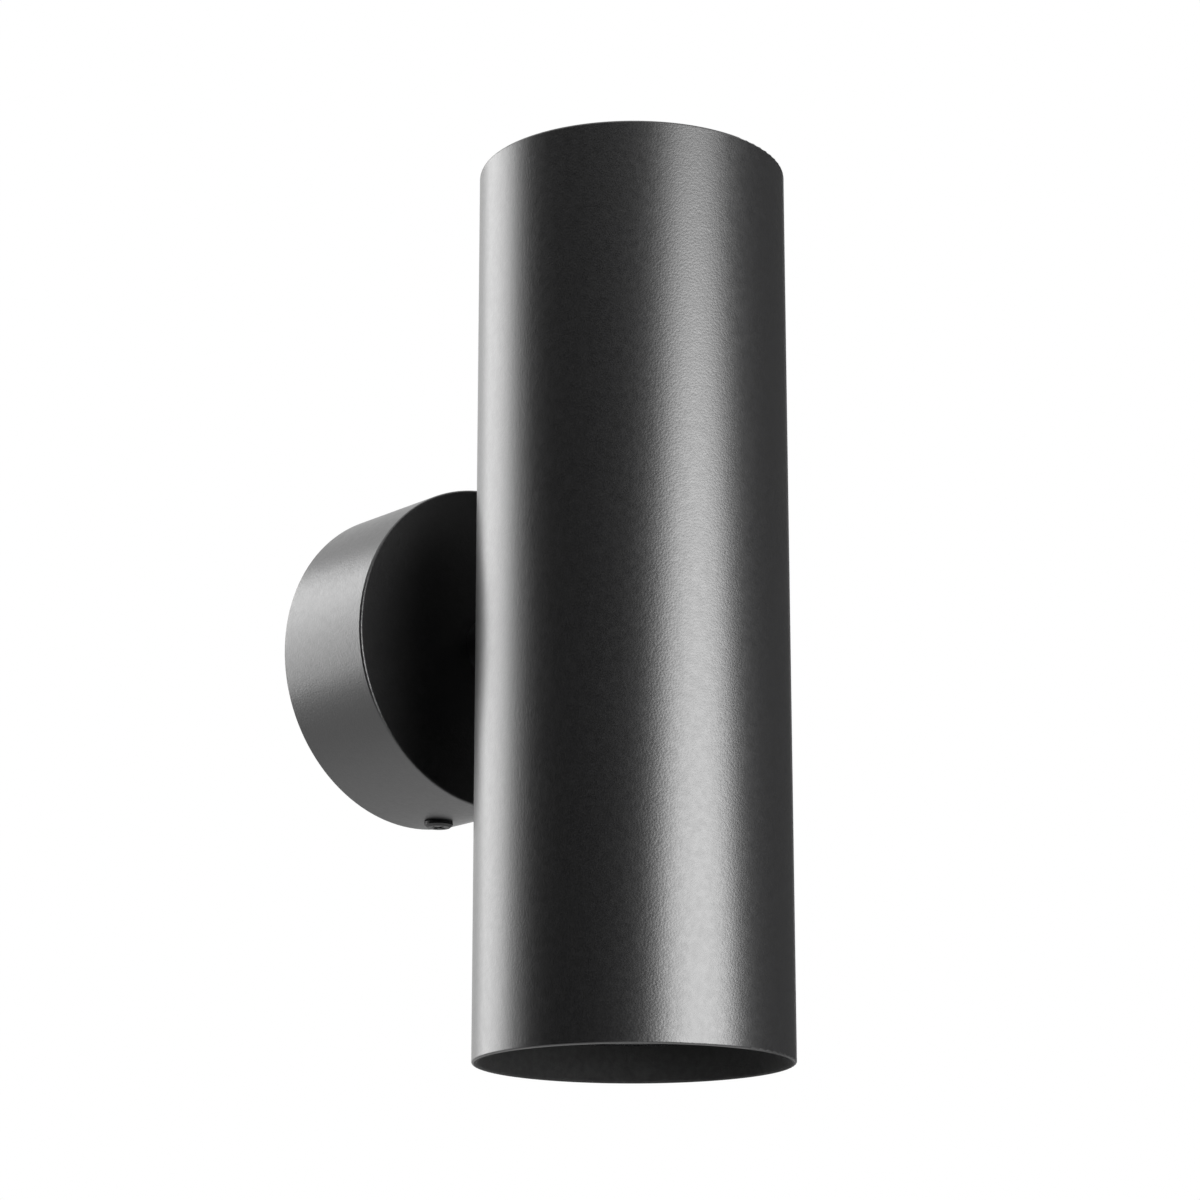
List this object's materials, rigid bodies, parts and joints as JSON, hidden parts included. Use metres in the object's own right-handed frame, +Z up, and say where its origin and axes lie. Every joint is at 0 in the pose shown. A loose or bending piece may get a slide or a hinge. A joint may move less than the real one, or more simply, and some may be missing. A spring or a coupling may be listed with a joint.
{
  "type": "up and down tube wall light",
  "caption": "Round black tube on a round wall canopy with a short stem; a twist-in lamp recessed in each open end shines up and down the wall.",
  "frame": {"origin": "on the wall plane, at the centre of the round canopy", "axes": "+Z up along the tube, +Y into the wall, so the light stands out along -Y and +X is to the right of someone facing the wall"},
  "size_m": [0.06, 0.0906, 0.16],
  "materials": {
    "black_coat": "fine-grained matt black powder coat on aluminium and steel",
    "black_screw": "black passivated steel screw",
    "zinc_steel": "zinc plated sheet steel",
    "bright_steel": "zinc plated turned steel",
    "tinned_copper": "tinned copper",
    "brass": "plain brass",
    "nickel_pin": "nickel plated pins",
    "white_ceramic": "unglazed white steatite",
    "white_plastic": "white thermoplastic",
    "black_gloss": "glossy black plastic ring",
    "lens": "clear lens with small ripples",
    "reflector": "bright white moulded cone",
    "white_board": "white solder mask",
    "led_yellow": "yellow phosphor over light chips",
    "driver_green": "green circuit board with dark parts",
    "block_plastic": "natural polyamide",
    "bush_plastic": "white nylon",
    "rubber": "soft black rubber",
    "live_brown": "brown insulation",
    "neutral_blue": "blue insulation",
    "earth_green": "green and yellow insulation"
  },
  "bodies": {
    "fixture": {"block_screw": "bright_steel", "bracket_earth_screw": "bright_steel", "bracket_earth_terminal": "tinned_copper", "cable_grommet": "rubber", "canopy_bush": "bush_plastic", "canopy_cover": "black_coat", "canopy_nut": "bright_steel", "canopy_washer": "bright_steel", "carrier_earth_screw": "bright_steel", "carrier_earth_terminal": "tinned_copper", "earth_lead": "earth_green", "lamp_carrier": "zinc_steel", "lead_ferrules": "tinned_copper", "live_leads": "live_brown", "lower_holder_contacts": "brass", "lower_holder_screws": "bright_steel", "lower_lampholder": "white_ceramic", "neutral_leads": "neutral_blue", "stem_spacer": "black_coat", "terminal_block": "block_plastic", "terminal_screws": "bright_steel", "terminal_tubes": "brass", "threaded_nipple": "bright_steel", "tube_body": "black_coat", "tube_bush": "bush_plastic", "tube_nut": "bright_steel", "tube_washer": "bright_steel", "upper_holder_contacts": "brass", "upper_holder_screws": "bright_steel", "upper_lampholder": "white_ceramic", "wall_bracket": "zinc_steel"},
    "lower_lamp": {"lower_lamp_base": "white_plastic", "lower_lamp_pins": "nickel_pin", "lower_lamp_housing": "white_plastic", "lower_lamp_bezel": "black_gloss", "lower_lamp_lens": "lens", "lower_lamp_reflector": "reflector", "lower_led_board": "white_board", "lower_leds": "led_yellow", "lower_lamp_driver": "driver_green"},
    "lower_screw": {"lower_canopy_screw": "black_screw"},
    "upper_lamp": {"upper_lamp_base": "white_plastic", "upper_lamp_pins": "nickel_pin", "upper_lamp_housing": "white_plastic", "upper_lamp_bezel": "black_gloss", "upper_lamp_lens": "lens", "upper_lamp_reflector": "reflector", "upper_led_board": "white_board", "upper_leds": "led_yellow", "upper_lamp_driver": "driver_green"},
    "upper_screw": {"upper_canopy_screw": "black_screw"}
  },
  "joints": [
    {"name": "lower_lamp_twist", "type": "hinge", "parent": "fixture", "child": "lower_lamp", "pos_m": [0, -0.06315, -0.05], "axis": [0, 0, -1], "range_deg": [0, 45]},
    {"name": "upper_lamp_twist", "type": "hinge", "parent": "fixture", "child": "upper_lamp", "pos_m": [0, -0.06315, 0.05], "axis": [0, 0, 1], "range_deg": [0, 45]},
    {"name": "lower_screw_travel", "type": "slide", "parent": "fixture", "child": "lower_screw", "axis": [0, 0, -1], "range_m": [0, 0.006]},
    {"name": "upper_screw_travel", "type": "slide", "parent": "fixture", "child": "upper_screw", "axis": [0, 0, 1], "range_m": [0, 0.006]}
  ]
}
